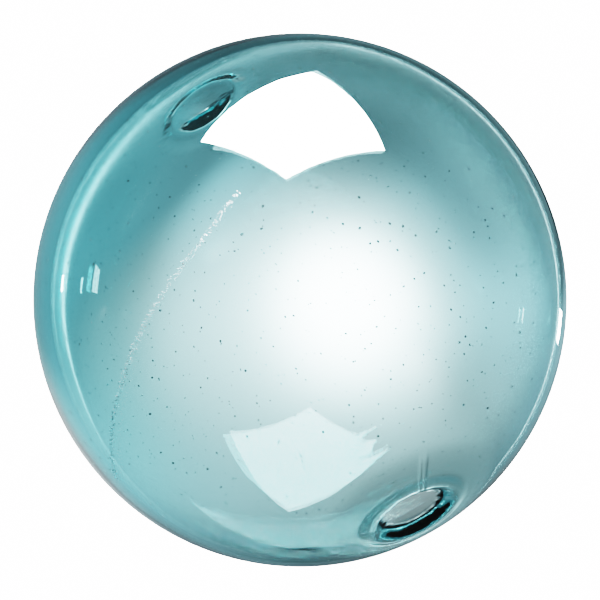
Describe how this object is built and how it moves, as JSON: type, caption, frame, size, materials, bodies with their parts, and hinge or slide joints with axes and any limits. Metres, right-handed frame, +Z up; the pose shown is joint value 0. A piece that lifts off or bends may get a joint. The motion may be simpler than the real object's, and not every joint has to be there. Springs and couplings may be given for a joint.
{
  "type": "glass fishing float",
  "caption": "Hollow blown ball of sea-green glass, its blow hole a small crater closed by a thin disc, that keeps a fishing net afloat or stands as an ornament.",
  "frame": {"origin": "on the ground, under the middle of the ball, at the centre of the small flat resting spot", "axes": "+Z up, +X to the right and +Y away from the side where the closed blow hole is in view"},
  "size_m": [0.12, 0.12, 0.1195],
  "materials": {
    "sea_green_glass": "clear pale teal blown glass with small bubbles, cords and light scuffs"
  },
  "bodies": {
    "root": {"glass_float": "sea_green_glass"}
  },
  "joints": []
}
